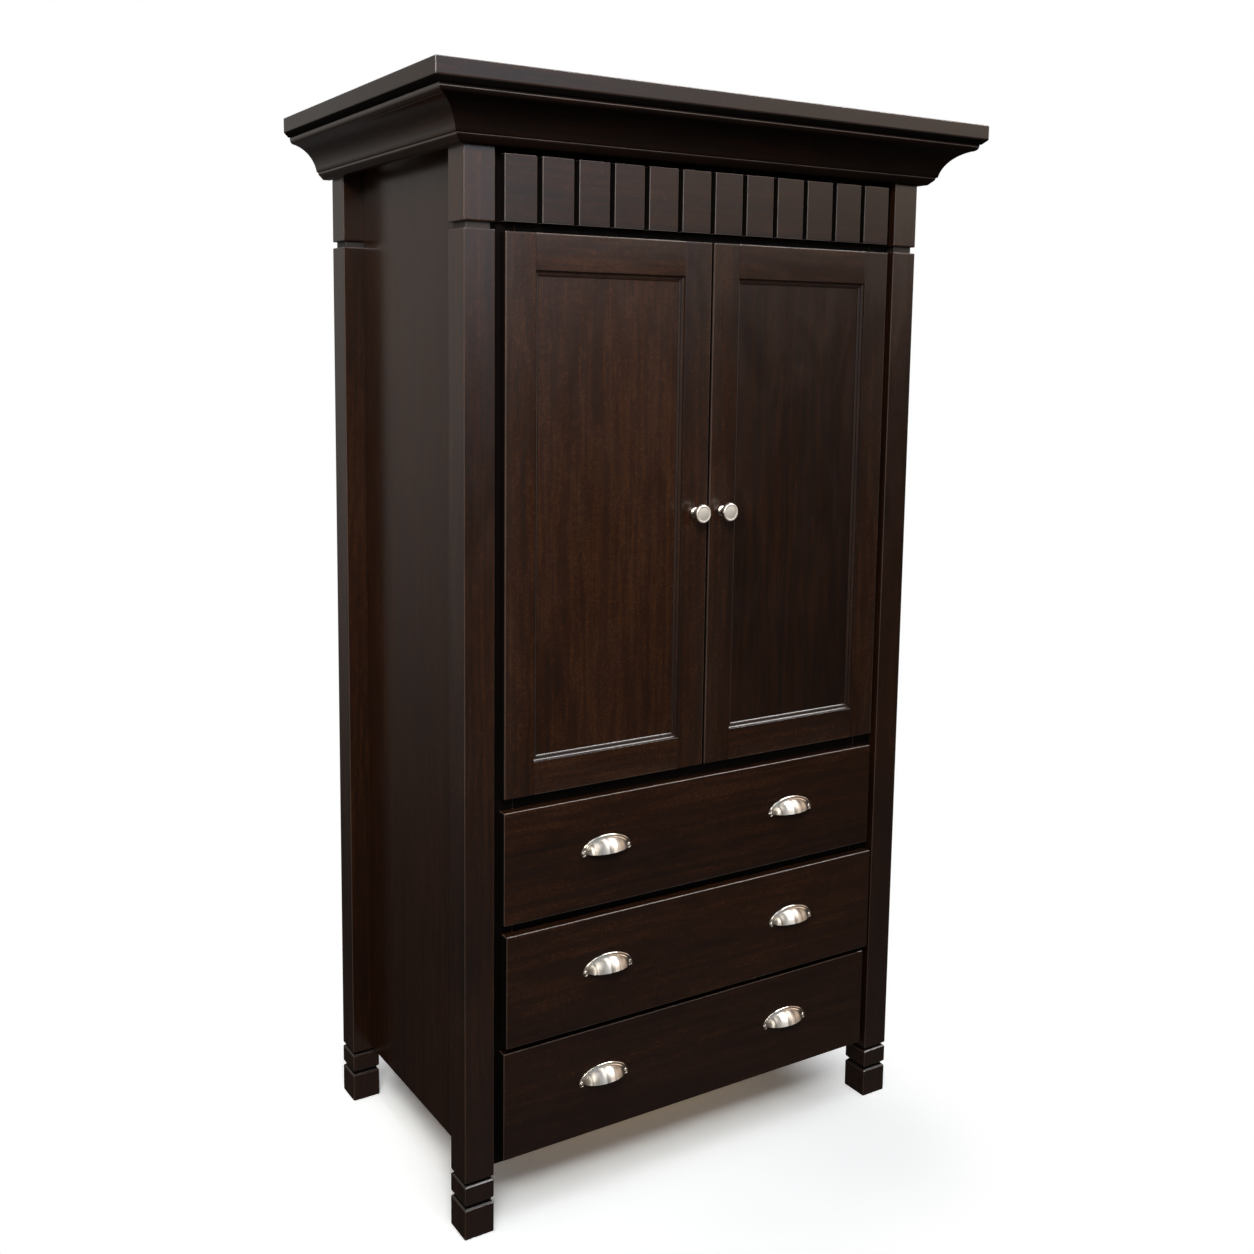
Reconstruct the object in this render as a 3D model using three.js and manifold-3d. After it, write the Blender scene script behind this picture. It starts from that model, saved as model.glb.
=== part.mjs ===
// A two-door armoire with three drawers: four square posts, a face frame set back between them,
// frame-and-panel doors, solid drawer fronts, a block frieze and a mitred cove crown.
// Millimetres, +Z up, front towards -Y, origin on the floor under the middle of the overall box.
import * as THREE from 'three';
import { mergeVertices } from 'three/addons/utils/BufferGeometryUtils.js';
import Module from 'manifold-3d';

const wasm = await Module();
wasm.setup();

// ---- driving dimensions -------------------------------------------------------------------
const CASE_WIDTH = 986;           // over the posts
const CASE_DEPTH = 571.5;         // over the posts
const HEIGHT = 1982;
const POST = 57;                  // square posts
const OVERHANG = 92;              // top board beyond the posts, front and sides
const REAR_OVERHANG = 11;         // top board beyond the rear posts
const TOP_THICKNESS = 35.5;
const TOP_CHAMFER = 8.5;          // on the lower edge of the top board
const CROWN_BOTTOM = 1872;
const GAP = 0.3;                  // left between pieces that touch
const CASE_BOTTOM = 112;          // lower edge of the panels and the face frame

const FOOT_GROOVES = [[54, 65], [97, 106]];     // V grooves round each foot
const NECK_GROOVE = [1741.5, 1753.2];           // square groove round each post
const GROOVE_DEPTH = 6;

const PANEL_RECESS = 41;          // side panel behind the outer face of the posts
const PANEL_THICKNESS = 18;
const BACK_SETBACK = 10;          // back panel in front of the rear face of the posts
const BACK_THICKNESS = 6;

const FRAME_SETBACK = 19.5;       // face frame behind the front face of the posts
const FRAME_THICKNESS = 19;
const STILE_WIDTH = 44.7;
const RAILS = {                   // lower and upper edge of each rail
  rail_top: [1690, 1753.2],
  rail_middle: [748, 798],
  rail_drawer_upper: [530, 572],
  rail_drawer_lower: [312, 353],
  rail_bottom: [CASE_BOTTOM, 139],
};

const FRIEZE_BOTTOM = 1753.5;
const BLOCK_COUNT = 12;
const BLOCK_GAP = 10.3;
const BLOCK_PROUD = 14;
const BLOCK_Z = [1755, 1863];

const FRONT_HALF = 418.6;         // half the width of the doors and drawer fronts
const FRONT_PROUD = 2.9;          // doors and drawer fronts ahead of the posts
const FRONT_THICKNESS = 20;
const DOOR_Z = [785.3, 1739.7];
const DOOR_GAP = 4.6;             // between the two doors
const STILE_FLAT = 57;            // flat width of a door stile, outside its moulded edge
const TOP_RAIL_FLAT = 61;
const BOTTOM_RAIL_FLAT = 59;
const STICKING = 9.5;             // width of the moulded edge round the door panel
const STICKING_STEP = 1.5;
const STICKING_DEPTH = 7.5;
const DOOR_PANEL_DEPTH = 9;       // front of the panel behind the front of the door
const DOOR_PANEL_THICKNESS = 6.4;
const DOOR_PANEL_TONGUE = 9;      // how far the panel sits in its groove
const KNOB_X = 30.5;
const KNOB_Z = 1258.5;

const HINGE_INSET = 105;          // hinge centre from the end of the door
const CUP_EDGE = 22.5;            // hinge cup centre from the edge of the door
const CUP_RADIUS = 17.5;
const CUP_DEPTH = 12;

const DRAWER_Z = {
  top: [559.1, 761.3],
  middle: [339.4, 543.5],
  bottom: [127, 325.7],
};
const DRAWER_OPEN = { top: 0, middle: 10, bottom: 0 };   // the middle one stands a little open
const BOX_HALF = 386;
const BOX_LENGTH = 480;
const BOX_HEIGHT = 150;
const BOX_WALL = 12;
const BOX_BOTTOM = 6;
const BOX_BOTTOM_LIFT = 10;
const PULL_X = 212;

const WEB_THICKNESS = 18;
const GUIDE_HEIGHT = 20;
const GUIDE_HALF = 387.5;         // half the space between the guide strips
const SHELF_Z = 1600;
const ROD_Z = 1560;
const ROD_RADIUS = 15;

// ---- places worked out from them ----------------------------------------------------------
const halfWidth = CASE_WIDTH / 2;
const frontY = -(CASE_DEPTH + OVERHANG + REAR_OVERHANG) / 2 + OVERHANG;
const rearY = frontY + CASE_DEPTH;
const topBottom = HEIGHT - TOP_THICKNESS;
const postInner = halfWidth - POST;
const panelOuter = halfWidth - PANEL_RECESS;
const panelInner = panelOuter - PANEL_THICKNESS;
const frameFront = frontY + FRAME_SETBACK;
const frameBack = frameFront + FRAME_THICKNESS;
const stileInner = postInner - GAP - STILE_WIDTH;
const backFront = rearY - BACK_SETBACK - BACK_THICKNESS;
const insideFront = frameBack + GAP;
const insideBack = backFront - GAP;
const insideHalf = panelInner - GAP;
const doorFront = frontY - FRONT_PROUD;
const doorBack = doorFront + FRONT_THICKNESS;

// ---- finishes -----------------------------------------------------------------------------
const stained = () => new THREE.MeshStandardMaterial({ color: 0x35211a, roughness: 0.42 });
const plainMaple = () => new THREE.MeshStandardMaterial({ color: 0xc79a63, roughness: 0.5 });
const nickel = () => new THREE.MeshStandardMaterial({ color: 0xb9b4aa, roughness: 0.3, metalness: 1 });
const steel = () => new THREE.MeshStandardMaterial({ color: 0xa6a8aa, roughness: 0.35, metalness: 1 });

// ---- small shape tools --------------------------------------------------------------------
const armoire = new THREE.Group();

function place(name, geometry, material) {
  const mesh = new THREE.Mesh(geometry, material);
  mesh.name = name;
  armoire.add(mesh);
}

// A box between two opposite corners.
function block([x0, x1], [y0, y1], [z0, z1]) {
  const geometry = new THREE.BoxGeometry(x1 - x0, y1 - y0, z1 - z0);
  return geometry.translate((x0 + x1) / 2, (y0 + y1) / 2, (z0 + z1) / 2);
}

// A closed geometry as a solid that can be joined or cut.
function solid(geometry) {
  const bare = geometry.index ? geometry.clone() : geometry;
  bare.deleteAttribute('normal');
  bare.deleteAttribute('uv');
  const welded = mergeVertices(bare, 1e-4);
  return new wasm.Manifold(new wasm.Mesh({
    numProp: 3,
    vertProperties: new Float32Array(welded.attributes.position.array),
    triVerts: new Uint32Array(welded.index.array),
  }));
}

// A solid back as a geometry.
function surface(body) {
  const mesh = body.getMesh();
  const geometry = new THREE.BufferGeometry();
  geometry.setAttribute('position', new THREE.BufferAttribute(mesh.vertProperties, 3));
  geometry.setIndex(new THREE.BufferAttribute(mesh.triVerts, 1));
  geometry.computeVertexNormals();
  return geometry;
}

// A closed outline in (a, b) extruded by length along the third direction.
function prism(outline, length) {
  const shape = new THREE.Shape(outline.map(([a, b]) => new THREE.Vector2(a, b)));
  return new THREE.ExtrudeGeometry(shape, { depth: length, bevelEnabled: false });
}

// Vertices moved by a function of (x, y, z); a turn or a shear keeps the faces pointing out.
function remap(geometry, move) {
  const p = geometry.attributes.position;
  for (let i = 0; i < p.count; i += 1) p.setXYZ(i, ...move(p.getX(i), p.getY(i), p.getZ(i)));
  geometry.computeVertexNormals();
  return geometry;
}

// Points along a circular arc that bulges by rise to the left of the line from start to end.
function arc([x0, y0], [x1, y1], rise, steps) {
  const chord = Math.hypot(x1 - x0, y1 - y0);
  const radius = (chord * chord / 4 + rise * rise) / (2 * Math.abs(rise));
  const half = Math.asin(chord / 2 / radius);
  const side = Math.sign(rise);
  const points = [];
  for (let i = 0; i <= steps; i += 1) {
    const angle = -half + 2 * half * i / steps;
    const along = 0.5 + radius * Math.sin(angle) / chord;
    const off = side * (radius * Math.cos(angle) - radius * Math.cos(half)) / chord;
    points.push([x0 + (x1 - x0) * along - (y1 - y0) * off, y0 + (y1 - y0) * along + (x1 - x0) * off]);
  }
  return points;
}

// ---- posts: square, grooved at the neck and twice at the foot --------------------------------
const postHalf = POST / 2;
const postProfile = [[0, 0], [postHalf, 0]];
for (const [low, high] of FOOT_GROOVES) {
  postProfile.push([postHalf, low], [postHalf - GROOVE_DEPTH, (low + high) / 2], [postHalf, high]);
}
const [neckLow, neckHigh] = NECK_GROOVE;
postProfile.push([postHalf, neckLow], [postHalf - GROOVE_DEPTH, neckLow]);
postProfile.push([postHalf - GROOVE_DEPTH, neckHigh], [postHalf, neckHigh]);
postProfile.push([postHalf, topBottom - GAP], [0, topBottom - GAP]);

// A lathe of four segments makes the square section; its corners lie at root two times the half width.
function post() {
  const points = postProfile.map(([r, z]) => new THREE.Vector2(r * Math.SQRT2, z));
  return new THREE.LatheGeometry(points, 4, Math.PI / 4).rotateX(Math.PI / 2);
}
for (const [side, sx] of [['left', -1], ['right', 1]]) {
  const x = sx * (halfWidth - postHalf);
  place(`post_front_${side}`, post().translate(x, frontY + postHalf, 0), stained());
  place(`post_rear_${side}`, post().translate(x, rearY - postHalf, 0), stained());
}

// ---- case panels ------------------------------------------------------------------------------
for (const [side, sx] of [['left', -1], ['right', 1]]) {
  const x = sx < 0 ? [-panelOuter, -panelInner] : [panelInner, panelOuter];
  const y = [frontY + POST + GAP, rearY - POST - GAP];
  place(`side_panel_${side}`, block(x, y, [CASE_BOTTOM - 4, topBottom - GAP]), stained());
}
place('back_panel', block([-postInner + GAP, postInner - GAP], [backFront, rearY - BACK_SETBACK],
  [CASE_BOTTOM, topBottom - GAP]), stained());

// ---- top board, chamfered below on its front and sides -------------------------------------
const boardHalf = halfWidth + OVERHANG;
const boardFront = frontY - OVERHANG;
const boardRear = rearY + REAR_OVERHANG;
const chamferTop = topBottom + TOP_CHAMFER;
const board = new THREE.BoxGeometry(2, 2, 2, 1, 1, 2);
place('top_board', remap(board, (x, y, z) => {
  const inset = z < -0.5 ? TOP_CHAMFER : 0;
  const level = [topBottom, chamferTop, HEIGHT][Math.round(z) + 1];
  return [x * (boardHalf - inset), y < 0 ? boardFront + inset : boardRear, level];
}), stained());

// ---- crown moulding: bevel, cove and quarter round, hollow behind, mitred at the corners --------
const crownTop = topBottom - GAP;
const crownOutline = [
  [GAP, CROWN_BOTTOM], [14, CROWN_BOTTOM], [23.5, 1881.5], [23.5, 1884], [27, 1886.5],
  ...arc([27, 1886.5], [70, 1934], 9, 8).slice(1),
  ...arc([70, 1934], [80, crownTop], -3, 3).slice(1),
  [64, crownTop], [GAP, 1888],
];

// The front length ends in a mitre at both corners: x runs out with the offset from the post.
place('crown_front', remap(prism(crownOutline, 1), (offset, z, along) => {
  const reach = halfWidth + offset - GAP;
  return [along > 0.5 ? -reach : reach, frontY - offset, z];
}), stained());

// A side length ends in a mitre in front and is sawn square at the back.
function crownSide(sx) {
  return remap(prism(crownOutline, 1), (offset, z, along) => {
    const rear = sx > 0 ? along < 0.5 : along > 0.5;
    return [sx * (halfWidth + offset), rear ? boardRear : frontY - offset + GAP, z];
  });
}
place('crown_left', crownSide(-1), stained());
place('crown_right', crownSide(1), stained());

// ---- frieze: one board with a row of blocks left standing -------------------------------------
const friezeFace = frontY + BLOCK_PROUD;
let frieze = solid(block([-postInner + GAP, postInner - GAP], [friezeFace, frameBack],
  [FRIEZE_BOTTOM, topBottom - GAP]));
const blockWidth = (2 * FRONT_HALF - (BLOCK_COUNT - 1) * BLOCK_GAP) / BLOCK_COUNT;
for (let i = 0; i < BLOCK_COUNT; i += 1) {
  const x = -FRONT_HALF + i * (blockWidth + BLOCK_GAP);
  frieze = frieze.add(solid(block([x, x + blockWidth], [frontY, friezeFace + 2], BLOCK_Z)));
}
place('frieze_board', surface(frieze), stained());

// ---- face frame -------------------------------------------------------------------------------
const frameY = [frameFront, frameBack];
for (const [side, sx] of [['left', -1], ['right', 1]]) {
  const x = sx < 0 ? [-postInner + GAP, -stileInner] : [stileInner, postInner - GAP];
  place(`frame_stile_${side}`, block(x, frameY, [CASE_BOTTOM, RAILS.rail_top[1]]), stained());
}
for (const [name, z] of Object.entries(RAILS)) {
  place(`frame_${name}`, block([-stileInner + GAP, stileInner - GAP], frameY, z), stained());
}

// ---- wardrobe: floor, ceiling, shelf, rod and its two sockets ----------------------------------
const inside = [-insideHalf, insideHalf];
const insideY = [insideFront, insideBack];
const floorTop = RAILS.rail_middle[1];
place('wardrobe_floor', block(inside, insideY, [floorTop - PANEL_THICKNESS, floorTop]), stained());
place('wardrobe_ceiling', block(inside, insideY, [FRIEZE_BOTTOM - PANEL_THICKNESS, FRIEZE_BOTTOM]),
  stained());
place('hat_shelf', block(inside, [insideFront + 25, insideBack - 5], [SHELF_Z, SHELF_Z + PANEL_THICKNESS]),
  stained());

const rodY = (insideFront + insideBack) / 2;
const socketFloor = 3;
const rodEnd = insideHalf - socketFloor - GAP;
const rodWall = 1.5;
const alongX = (geometry, x) => geometry.rotateZ(-Math.PI / 2).translate(x, rodY, ROD_Z);
const rodSection = [
  [ROD_RADIUS - rodWall, -rodEnd], [ROD_RADIUS, -rodEnd], [ROD_RADIUS, rodEnd],
  [ROD_RADIUS - rodWall, rodEnd], [ROD_RADIUS - rodWall, -rodEnd],
];
const turned = (points, segments) => new THREE.LatheGeometry(points.map(([r, h]) => new THREE.Vector2(r, h)),
  segments);
place('hanging_rod', alongX(turned(rodSection, 24), 0), steel());
const socketSection = [
  [0, 0], [24, 0], [24, socketFloor], [19, socketFloor], [19, 16], [ROD_RADIUS + 0.5, 16],
  [ROD_RADIUS + 0.5, socketFloor], [0, socketFloor],
];
const socket = () => turned(socketSection, 24);
place('rod_socket_left', alongX(socket(), -insideHalf), steel());
place('rod_socket_right', socket().rotateZ(Math.PI / 2).translate(insideHalf, rodY, ROD_Z), steel());

// ---- web frames: each carries a drawer and holds two guide strips beside it --------------------
const WEB_MEMBER = [94, 60];      // width of the side members and of the front and rear ones
function webFrame(top) {
  const z = [top - WEB_THICKNESS, top];
  const opening = block([-insideHalf + WEB_MEMBER[0], insideHalf - WEB_MEMBER[0]],
    [insideFront + WEB_MEMBER[1], insideBack - WEB_MEMBER[1]], [z[0] - 1, z[1] + 1]);
  let frame = solid(block(inside, insideY, z)).subtract(solid(opening));
  for (const x of [[-insideHalf, -GUIDE_HALF], [GUIDE_HALF, insideHalf]]) {
    frame = frame.add(solid(block(x, insideY, [top - 2, top + GUIDE_HEIGHT])));
  }
  return surface(frame);
}
const WEB_TOP = {
  top: RAILS.rail_drawer_upper[1],
  middle: RAILS.rail_drawer_lower[1],
  bottom: RAILS.rail_bottom[1],
};
for (const [level, top] of Object.entries(WEB_TOP)) place(`web_frame_${level}`, webFrame(top), stained());

// ---- doors ------------------------------------------------------------------------------------
// Everything is worked out for the right-hand door and mirrored for the other.
const doorOuter = FRONT_HALF;
const doorInner = DOOR_GAP / 2;
const [doorLow, doorHigh] = DOOR_Z;
const frameEdge = STILE_FLAT + STICKING;

// Section of a stile or rail: distance in from the edge of the door, distance back from its front.
function memberSection(flat, slack, back) {
  return [
    [0, -slack * 4], [flat + slack, -slack * 4], [flat + slack, STICKING_STEP - slack],
    [flat + STICKING + slack, STICKING_DEPTH - slack], [flat + STICKING + slack, back + slack * 4],
    [0, back + slack * 4],
  ];
}

// A stile stands along z; edge is the x of its outer edge and inward the sense of x into the door.
function stile(edge, inward, slack = 0) {
  const length = doorHigh - doorLow + 2 * slack;
  return remap(prism(memberSection(STILE_FLAT, slack, FRONT_THICKNESS), length),
    (w, y, z) => [edge + inward * w, doorFront + y, (inward > 0 ? z : length - z) + doorLow - slack]);
}

// A rail runs along x between the flats of the stiles; inward is the sense of z into the door.
function rail(edge, inward, flat) {
  const x0 = doorInner + STILE_FLAT + GAP;
  const length = doorOuter - STILE_FLAT - GAP - x0;
  return remap(prism(memberSection(flat, 0, FRONT_THICKNESS), length),
    (w, y, x) => [x0 + (inward > 0 ? length - x : x), doorFront + y, edge + inward * w]);
}

const tongue = frameEdge - DOOR_PANEL_TONGUE;
const railTongue = STICKING - DOOR_PANEL_TONGUE;
const panelY = doorFront + DOOR_PANEL_DEPTH;
const doorPanel = (slack) => block(
  [doorInner + tongue - slack, doorOuter - tongue + slack],
  [panelY - slack, panelY + DOOR_PANEL_THICKNESS + slack],
  [doorLow + BOTTOM_RAIL_FLAT + railTongue - slack, doorHigh - TOP_RAIL_FLAT - railTongue + slack]);

const cupX = doorOuter - CUP_EDGE;
const hingeLevels = { lower: doorLow + HINGE_INSET, upper: doorHigh - HINGE_INSET };
const groove = solid(doorPanel(0.4));
const outerStile = solid(stile(doorOuter, -1));
const innerStile = solid(stile(doorInner, 1));
const copes = solid(stile(doorOuter, -1, GAP)).add(solid(stile(doorInner, 1, GAP)));

// The round recess for a hinge cup, bored from the back of the door.
function cupBore(z) {
  const depth = CUP_DEPTH + GAP;
  return solid(new THREE.CylinderGeometry(CUP_RADIUS + GAP, CUP_RADIUS + GAP, depth + 1, 32)
    .translate(cupX, doorBack - depth / 2 + 0.5, z));
}
let boredStile = outerStile.subtract(groove);
for (const z of Object.values(hingeLevels)) boredStile = boredStile.subtract(cupBore(z));

// A hinge cup: a round pot with a thin flange on the back of the door.
function hingeCup(z) {
  const wall = 1.2;
  const flange = CUP_RADIUS + 4;
  const section = [
    [0, -CUP_DEPTH], [CUP_RADIUS, -CUP_DEPTH], [CUP_RADIUS, GAP], [flange, GAP], [flange, GAP + 1],
    [CUP_RADIUS - wall, GAP + 1], [CUP_RADIUS - wall, -CUP_DEPTH + wall], [0, -CUP_DEPTH + wall],
  ];
  return turned(section, 24).translate(cupX, doorBack, z);
}

// A hinge plate on the edge of the face frame, with an arm that reaches into the cup.
function hingePlate(z) {
  const face = stileInner - GAP;
  const plate = solid(block([face - 2.5, face], [frameFront + 1.5, frameBack - 0.5], [z - 24, z + 24]));
  const arm = solid(block([face - 7.5, face - 2], [frontY + 12, frameBack - 1], [z - 6, z + 6]));
  return surface(plate.add(arm));
}

// A turned knob: round base, waisted neck and a low domed head.
const knobSection = [
  [0, -GAP], [9.5, -GAP], [10, -2], [7.5, -4.5], [6, -9], [6.6, -14], [10, -18], [16, -20.5], [17.2, -23.5],
  [16.6, -27], [14.2, -29.2], [12.8, -28.4], [8, -29.5], [0, -30],
];
const knob = () => turned([...knobSection].reverse(), 28).translate(KNOB_X, doorFront, KNOB_Z);

const doorParts = {
  outer_stile: [() => surface(boredStile), stained],
  inner_stile: [() => surface(innerStile.subtract(groove)), stained],
  top_rail: [() => surface(solid(rail(doorHigh, -1, TOP_RAIL_FLAT)).subtract(copes).subtract(groove)), stained],
  bottom_rail: [() => surface(solid(rail(doorLow, 1, BOTTOM_RAIL_FLAT)).subtract(copes).subtract(groove)), stained],
  panel: [() => doorPanel(0), stained],
  knob: [knob, nickel],
  hinge_cup_lower: [() => hingeCup(hingeLevels.lower), steel],
  hinge_cup_upper: [() => hingeCup(hingeLevels.upper), steel],
};
const caseHinges = {
  hinge_plate_lower: [() => hingePlate(hingeLevels.lower), steel],
  hinge_plate_upper: [() => hingePlate(hingeLevels.upper), steel],
};

// The same geometry on the other side: x changes sign and each triangle is turned round.
function mirrored(geometry) {
  const flat = geometry.index ? geometry.toNonIndexed() : geometry;
  const p = flat.attributes.position;
  const out = new Float32Array(p.count * 3);
  for (let i = 0; i < p.count; i += 1) {
    const from = i - (i % 3) + [0, 2, 1][i % 3];
    out.set([-p.getX(from), p.getY(from), p.getZ(from)], i * 3);
  }
  const result = new THREE.BufferGeometry();
  result.setAttribute('position', new THREE.BufferAttribute(out, 3));
  result.computeVertexNormals();
  return result;
}
for (const [name, [make, finish]] of Object.entries(doorParts)) {
  place(`door_left_${name}`, mirrored(make()), finish());
  place(`door_right_${name}`, make(), finish());
}
for (const [name, [make, finish]] of Object.entries(caseHinges)) {
  place(`${name}_left`, mirrored(make()), finish());
  place(`${name}_right`, make(), finish());
}

// ---- drawers ----------------------------------------------------------------------------------
// A cup pull: a flange between two half ellipses, with a round ear at each end, and a hollow dome
// open below. Each pair of half axes is the reach sideways and the height.
const PULL = {
  earX: 47.5, ear: 5.5, flangeOuter: [52.6, 28.5], flangeInner: [42.6, 20.5], plate: 2.4,
  dome: [43.5, 21, 21.5], wall: 1.7,
};

function cupPull() {
  const { earX, ear, flangeOuter, flangeInner, plate, dome, wall } = PULL;
  const halfEllipse = ([a, b]) => new THREE.EllipseCurve(0, 0, a, b, 0, Math.PI).getPoints(20);
  const rim = new THREE.ExtrudeGeometry(
    new THREE.Shape([...halfEllipse(flangeOuter), ...halfEllipse(flangeInner).reverse()]),
    { depth: plate, bevelEnabled: false }).rotateX(Math.PI / 2);
  const ellipsoid = ([a, b, c]) => solid(new THREE.SphereGeometry(1, 28, 14).scale(a, b, c));
  const shell = ellipsoid(dome).subtract(ellipsoid(dome.map((r) => r - wall)));
  const quarter = solid(block([-60, 60], [-30, 0], [-1, 40]));
  let pull = shell.intersect(quarter).add(solid(rim));
  for (const x of [-earX, earX]) {
    pull = pull.add(solid(new THREE.CylinderGeometry(ear, ear, plate, 20).translate(x, -plate / 2, 0)));
  }
  return surface(pull);
}

// A drawer box: sides, front, back and bottom glued up as one, open above.
function drawerBox(y, z) {
  const shell = solid(block([-BOX_HALF, BOX_HALF], [y, y + BOX_LENGTH], [z, z + BOX_HEIGHT]));
  const x = [-BOX_HALF + BOX_WALL, BOX_HALF - BOX_WALL];
  const depth = [y + BOX_WALL, y + BOX_LENGTH - BOX_WALL];
  const above = solid(block(x, depth, [z + BOX_BOTTOM_LIFT + BOX_BOTTOM, z + BOX_HEIGHT + 1]));
  const below = solid(block(x, depth, [z - 1, z + BOX_BOTTOM_LIFT]));
  return surface(shell.subtract(above).subtract(below));
}

for (const [level, z] of Object.entries(DRAWER_Z)) {
  const face = doorFront - DRAWER_OPEN[level];
  const middle = (z[0] + z[1]) / 2;
  place(`drawer_${level}_front`, block([-FRONT_HALF, FRONT_HALF], [face, face + FRONT_THICKNESS], z), stained());
  place(`drawer_${level}_box`, drawerBox(face + FRONT_THICKNESS + GAP, WEB_TOP[level] + GAP), plainMaple());
  place(`drawer_${level}_pull_left`, cupPull().translate(-PULL_X, face - GAP, middle), nickel());
  place(`drawer_${level}_pull_right`, cupPull().translate(PULL_X, face - GAP, middle), nickel());
}

export default armoire;
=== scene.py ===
import math

import bpy
import numpy as np
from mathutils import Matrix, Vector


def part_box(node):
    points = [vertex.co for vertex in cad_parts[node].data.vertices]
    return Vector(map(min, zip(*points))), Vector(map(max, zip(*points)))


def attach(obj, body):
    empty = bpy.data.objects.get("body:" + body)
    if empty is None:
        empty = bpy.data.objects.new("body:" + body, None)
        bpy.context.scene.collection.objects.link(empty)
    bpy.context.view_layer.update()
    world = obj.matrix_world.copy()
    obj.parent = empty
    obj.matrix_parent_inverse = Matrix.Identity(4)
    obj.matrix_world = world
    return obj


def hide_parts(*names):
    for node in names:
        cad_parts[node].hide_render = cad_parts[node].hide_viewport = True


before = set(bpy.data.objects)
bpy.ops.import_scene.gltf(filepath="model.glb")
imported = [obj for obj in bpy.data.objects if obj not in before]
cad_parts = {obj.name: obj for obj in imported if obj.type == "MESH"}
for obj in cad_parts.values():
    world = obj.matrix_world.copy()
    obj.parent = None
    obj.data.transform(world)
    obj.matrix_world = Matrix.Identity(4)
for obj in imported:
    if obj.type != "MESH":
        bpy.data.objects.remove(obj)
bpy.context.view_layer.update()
MM = 0.001


# ---- camera ---------------------------------------------------------------------------------
# A person's-eye camera to the left of the armoire, close enough for the front to fall away to the
# right. The small shift keeps all four feet in the picture.
eye = bpy.data.cameras.new("eye")
eye.lens = 39.0
eye.sensor_width = 36.0
eye.shift_x = 0.0472
eye.shift_y = -0.0889
camera = bpy.data.objects.new("eye", eye)
camera.location = (-1.477, -2.2244, 1.5499)
camera.rotation_euler = [math.radians(a) for a in (83.02, -0.444, -30.782)]
bpy.context.collection.objects.link(camera)
bpy.context.scene.camera = camera


# ---- studio ---------------------------------------------------------------------------------
# A pale floor that fades into white, three soft boxes, and a room for the lacquer to mirror: a wide
# window to the right, bright just above eye level, and a dimmer wall to the left. The floor is seen
# only directly, so it doesn't grey the dark stain.
scene = bpy.context.scene
scene.view_settings.view_transform = "Standard"
scene.view_settings.look = "None"


def wire(tree, kind, inputs=None, **settings):
    """One node: settings are its properties, inputs are values or sockets by name or number."""
    node = tree.nodes.new(kind)
    for key, value in settings.items():
        setattr(node, key, value)
    for key, value in (inputs or {}).items():
        if isinstance(value, bpy.types.NodeSocket):
            tree.links.new(value, node.inputs[key])
        else:
            node.inputs[key].default_value = value
    return node


world = bpy.data.worlds.new("room")
scene.world = world
world.use_nodes = True
world.cycles.sampling_method = "NONE"
room = world.node_tree
room.nodes.clear()
heading = wire(room, "ShaderNodeTexCoord").outputs["Generated"]
axes = wire(room, "ShaderNodeSeparateXYZ", {0: heading})


def ramp_over(tree, value, start, end, low, high):
    """A smooth rise from low to high as the value goes from start to end."""
    return wire(tree, "ShaderNodeMapRange", {0: value, 1: start, 2: end, 3: low, 4: high},
                interpolation_type="SMOOTHSTEP").outputs[0]


WALL_TINT = (1.0, 0.96, 0.90, 1)
DAYLIGHT = (0.74, 0.86, 1.0, 1)
LAMPLIGHT = (1.0, 0.81, 0.68, 1)
WINDOW_SILL, WINDOW_FULL = 0.02, 0.24
WINDOW_HEAD, WINDOW_TOP = 0.28, 0.50
WALL_DIM, WALL_BRIGHT = 0.03, 0.46
FLOOR_GLOW = 0.09
WHITE = (1, 1, 1, 1)

# What the lacquer mirrors, by the direction it looks in: x to the right and z up. The sill of the
# window lies lower in its left part.
lift = ramp_over(room, axes.outputs["X"], 0.44, 0.53, 0.10, 0.0)
raised = wire(room, "ShaderNodeMath", {0: axes.outputs["Z"], 1: lift}, operation="ADD").outputs[0]
brightest = ramp_over(room, axes.outputs["X"], 0.50, 0.62, 2.0, 2.5)
pane = ramp_over(room, raised, WINDOW_SILL, WINDOW_FULL, 0.04, brightest)
lintel = ramp_over(room, axes.outputs["Z"], WINDOW_HEAD, WINDOW_TOP, 1.0, 0.22)
window = wire(room, "ShaderNodeMath", {0: pane, 1: lintel}, operation="MULTIPLY").outputs[0]
low_glow = ramp_over(room, axes.outputs["Z"], -0.55, -0.20, FLOOR_GLOW, 0.0)
right_side = wire(room, "ShaderNodeMath", {0: window, 1: low_glow}, operation="ADD").outputs[0]
left_side = ramp_over(room, axes.outputs["Z"], -0.42, 0.18, WALL_DIM, WALL_BRIGHT)
rightward = ramp_over(room, axes.outputs["X"], -0.15, 0.2, 0.0, 1.0)
mirrored = wire(room, "ShaderNodeMix", {0: rightward, 2: left_side, 3: right_side},
                data_type="FLOAT").outputs[0]

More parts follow.
